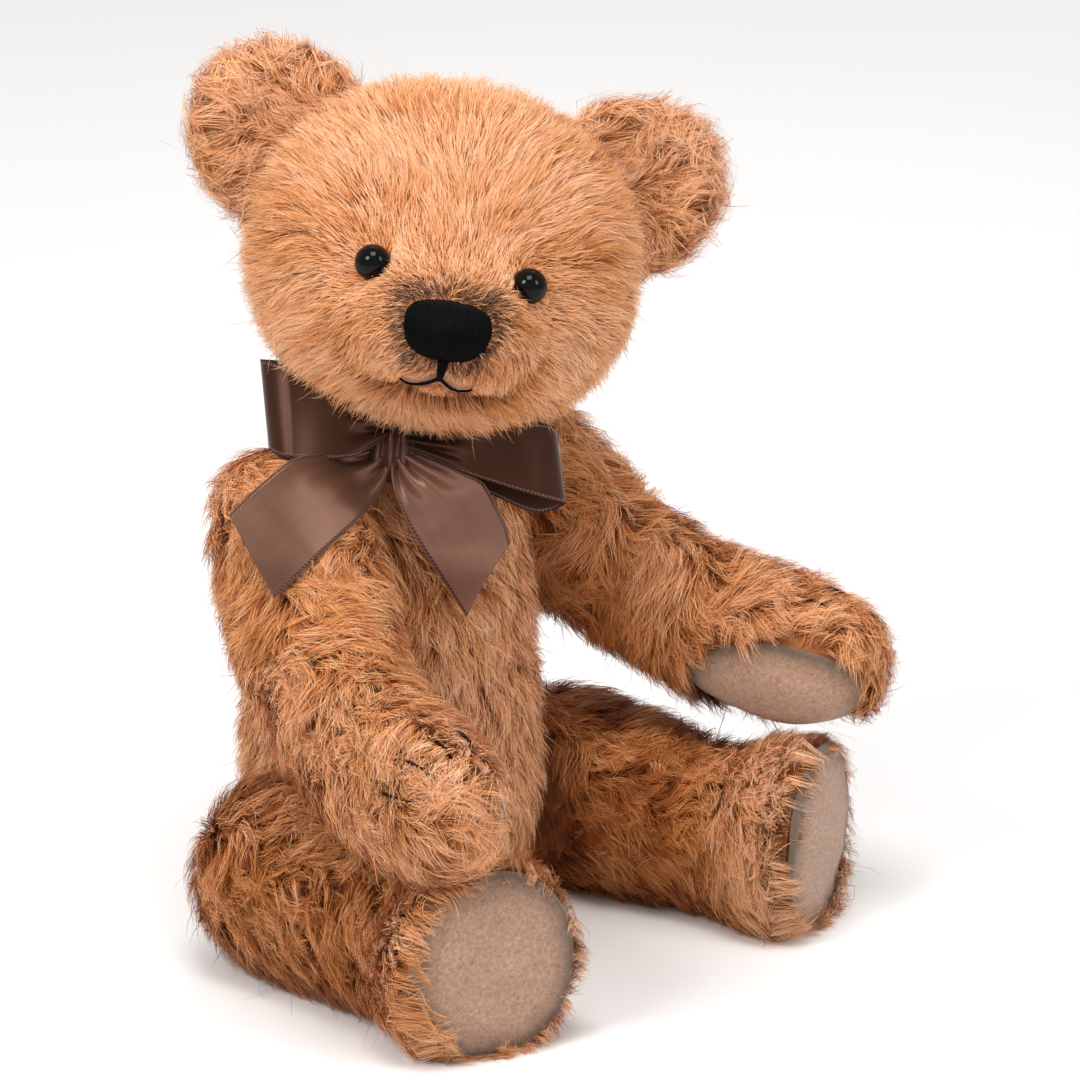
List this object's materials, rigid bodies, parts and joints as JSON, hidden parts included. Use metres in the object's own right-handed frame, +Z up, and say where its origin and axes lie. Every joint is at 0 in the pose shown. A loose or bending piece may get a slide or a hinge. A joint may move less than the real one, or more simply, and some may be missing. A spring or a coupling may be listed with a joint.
{
  "type": "jointed teddy bear",
  "caption": "Seated disc-jointed mohair teddy bear with felt pads, stitched nose and claws, black bead eyes and a satin ribbon bow; head, arms and legs turn.",
  "frame": {"origin": "on the flat that the bear sits on, under its middle", "axes": "+Z up, the body faces -Y, the bear's left is +X; the head is turned to the bear's right"},
  "size_m": [0.1954, 0.1541, 0.2543],
  "materials": {
    "mohair": "matte",
    "stuffing": "matte",
    "hardboard": "matte",
    "steel": "satin",
    "felt": "matte",
    "thread": "matte",
    "eye_glass": "gloss",
    "ribbon": "satin"
  },
  "bodies": {
    "torso": {"torso_skin": "mohair", "torso_filling": "stuffing", "torso_neck_disc": "hardboard", "torso_shoulder_discs": "hardboard", "torso_hip_discs": "hardboard", "torso_washers": "steel", "ribbon_collar": "ribbon", "bow_knot": "ribbon", "bow_loop_left": "ribbon", "bow_loop_right": "ribbon", "bow_tail_left": "ribbon", "bow_tail_right": "ribbon"},
    "head": {"head_skin": "mohair", "head_filling": "stuffing", "ear_left": "mohair", "ear_right": "mohair", "eye_left": "eye_glass", "eye_right": "eye_glass", "eye_shanks": "steel", "nose": "thread", "mouth_stitches": "thread", "head_disc": "hardboard", "head_washer": "steel", "head_bolt": "steel", "head_nut": "steel"},
    "left_arm": {"arm_left_skin": "mohair", "arm_left_filling": "stuffing", "paw_pad_left": "felt", "arm_left_claws": "thread", "arm_left_disc": "hardboard", "arm_left_washer": "steel", "arm_left_bolt": "steel", "arm_left_nut": "steel"},
    "right_arm": {"arm_right_skin": "mohair", "arm_right_filling": "stuffing", "paw_pad_right": "felt", "arm_right_claws": "thread", "arm_right_disc": "hardboard", "arm_right_washer": "steel", "arm_right_bolt": "steel", "arm_right_nut": "steel"},
    "left_leg": {"leg_left_skin": "mohair", "leg_left_filling": "stuffing", "sole_pad_left": "felt", "leg_left_claws": "thread", "leg_left_disc": "hardboard", "leg_left_washer": "steel", "leg_left_bolt": "steel", "leg_left_nut": "steel"},
    "right_leg": {"leg_right_skin": "mohair", "leg_right_filling": "stuffing", "sole_pad_right": "felt", "leg_right_claws": "thread", "leg_right_disc": "hardboard", "leg_right_washer": "steel", "leg_right_bolt": "steel", "leg_right_nut": "steel"}
  },
  "joints": [
    {"name": "neck_turn", "type": "hinge", "parent": "torso", "child": "head", "pos_m": [0, -0.007, 0.156], "axis": [0, -0.1392, 0.9903], "continuous": true},
    {"name": "left_shoulder", "type": "hinge", "parent": "torso", "child": "left_arm", "pos_m": [0.03, -0.003, 0.124], "axis": [-0.9531, -0.2026, -0.225], "range_deg": [0, 60]},
    {"name": "right_shoulder", "type": "hinge", "parent": "torso", "child": "right_arm", "pos_m": [-0.03, -0.003, 0.124], "axis": [-0.9531, 0.2026, 0.225], "range_deg": [0, 52], "deforming": ["bow_tail_right"]},
    {"name": "left_hip", "type": "hinge", "parent": "torso", "child": "left_leg", "pos_m": [0.037, -0.01, 0.029], "axis": [-0.988, -0.0951, 0.1219], "range_deg": [-90, 0]},
    {"name": "right_hip", "type": "hinge", "parent": "torso", "child": "right_leg", "pos_m": [-0.037, -0.01, 0.029], "axis": [-0.988, 0.0951, -0.1219], "range_deg": [-90, 0]}
  ]
}
